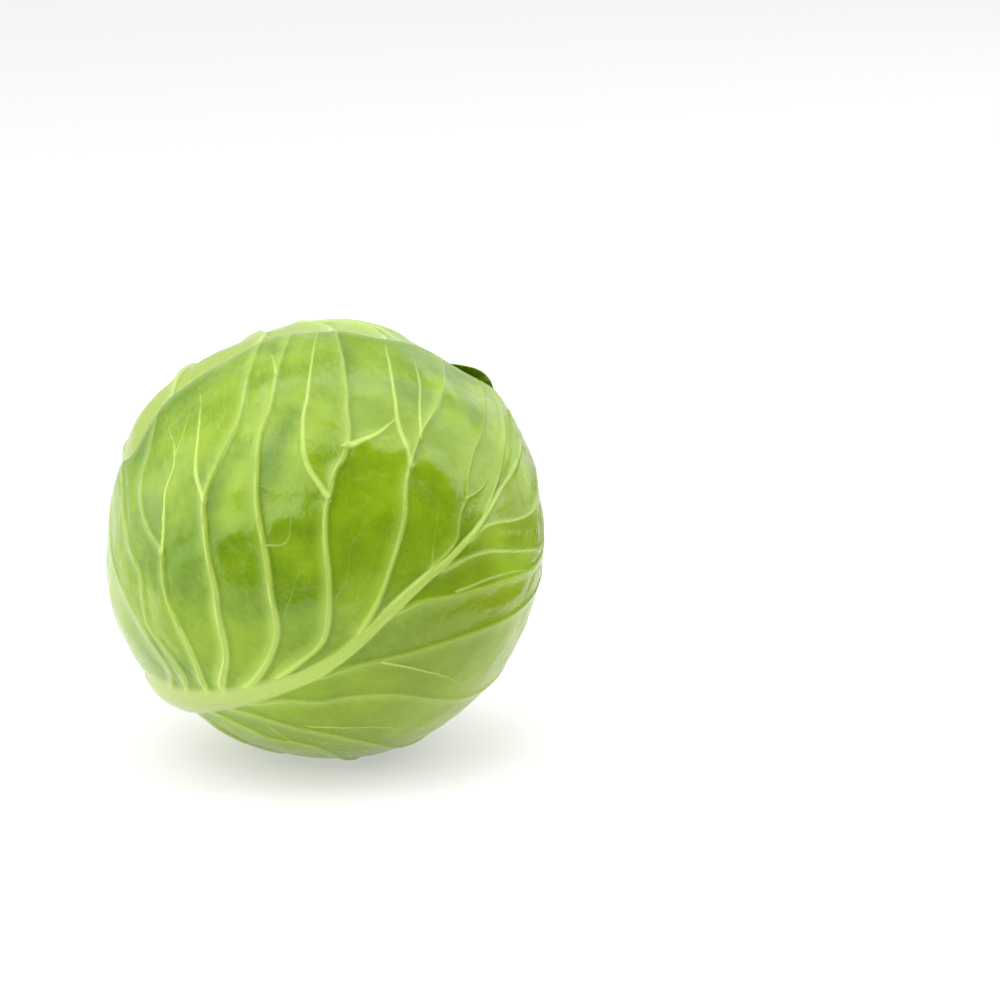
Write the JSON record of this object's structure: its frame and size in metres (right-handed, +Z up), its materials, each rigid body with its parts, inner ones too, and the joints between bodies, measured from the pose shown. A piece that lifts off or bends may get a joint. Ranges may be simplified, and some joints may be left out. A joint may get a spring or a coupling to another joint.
{
  "type": "cabbage",
  "caption": "whole head of green cabbage lying on its side: overlapping ribbed outer leaves wrapped round a dense heart, with a short cut stem",
  "frame": {"origin": "middle of the flat spot that the head lies on, in the plane of the surface under it", "axes": "+Z up, away from the surface; +X to the right as the picture sees it, so the cut stem points to -X, down and back; -Y towards the picture's camera; the crown of the head points to +X, up and forward"},
  "size_m": [0.1807, 0.1797, 0.177],
  "materials": {
    "leaf_green": "waxy leaf",
    "leaf_dark": "waxy leaf",
    "leaf_pale": "waxy leaf",
    "heart_pale": "satin leaf",
    "stem_white": "cut flesh"
  },
  "bodies": {
    "root": {"front_leaf": "leaf_green", "rear_leaf": "leaf_pale", "under_leaf": "leaf_green", "back_leaf": "leaf_dark", "upper_leaf": "leaf_pale", "heart": "heart_pale", "stem": "stem_white"}
  },
  "joints": []
}
